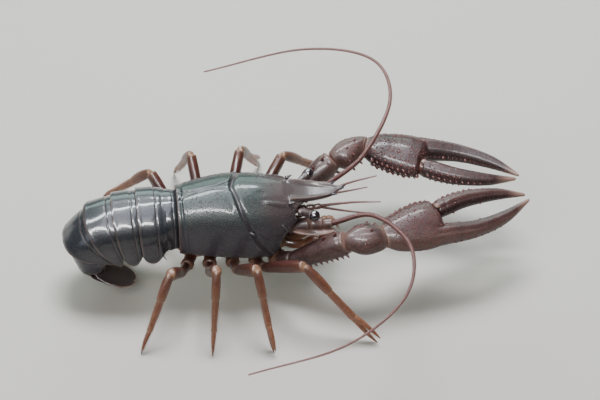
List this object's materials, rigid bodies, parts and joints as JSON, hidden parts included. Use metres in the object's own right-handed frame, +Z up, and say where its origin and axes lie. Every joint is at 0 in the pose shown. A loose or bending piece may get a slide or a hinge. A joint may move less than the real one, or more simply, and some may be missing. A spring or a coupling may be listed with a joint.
{
  "type": "red swamp crayfish",
  "caption": "Life-size still model of an adult red swamp crayfish standing on its walking legs, claws reaching forward and tail curled under.",
  "frame": {"origin": "the floor point under the middle of the animal's bounding box", "axes": "+X points the way the head and claws point, +Y is the animal's left side, +Z is up"},
  "size_m": [0.1538, 0.1288, 0.0429],
  "materials": {
    "shell": "glossy wet chitin shell, nearly black wine red with a slate sheen",
    "claw": "glossy dark red chitin with a brown mauve cast and brighter red tubercles",
    "leg": "semi-gloss orange brown chitin",
    "belly": "semi-gloss pale tan chitin and joint membrane",
    "feeler": "semi-gloss red brown ringed feelers",
    "eye": "very glossy black eye surface"
  },
  "bodies": {
    "root": {"abdomen_1": "shell", "abdomen_2": "shell", "abdomen_3": "shell", "abdomen_4": "shell", "abdomen_5": "shell", "abdomen_6": "shell", "antenna_base_left": "shell", "antenna_base_right": "shell", "antennule_left": "feeler", "antennule_right": "feeler", "arm_left": "claw", "arm_right": "claw", "carapace": "shell", "eye_left": "eye", "eye_right": "eye", "eye_stalk_left": "shell", "eye_stalk_right": "shell", "flagellum_base_left": "feeler", "flagellum_base_right": "feeler", "flagellum_middle_left": "feeler", "flagellum_middle_right": "feeler", "flagellum_tip_left": "feeler", "flagellum_tip_right": "feeler", "hand_left": "claw", "hand_right": "claw", "jaw_leg_left": "leg", "jaw_leg_right": "leg", "leg_2_left_lower": "leg", "leg_2_left_upper": "leg", "leg_2_right_lower": "leg", "leg_2_right_upper": "leg", "leg_3_left_lower": "leg", "leg_3_left_upper": "leg", "leg_3_right_lower": "leg", "leg_3_right_upper": "leg", "leg_4_left_lower": "leg", "leg_4_left_upper": "leg", "leg_4_right_lower": "leg", "leg_4_right_upper": "leg", "leg_5_left_lower": "leg", "leg_5_left_upper": "leg", "leg_5_right_lower": "leg", "leg_5_right_upper": "leg", "moving_finger_left": "claw", "moving_finger_right": "claw", "telson": "shell", "thorax_underside": "belly", "uropod_inner_left": "shell", "uropod_inner_right": "shell", "uropod_outer_left": "shell", "uropod_outer_right": "shell", "wrist_left": "claw", "wrist_right": "claw"}
  },
  "joints": []
}
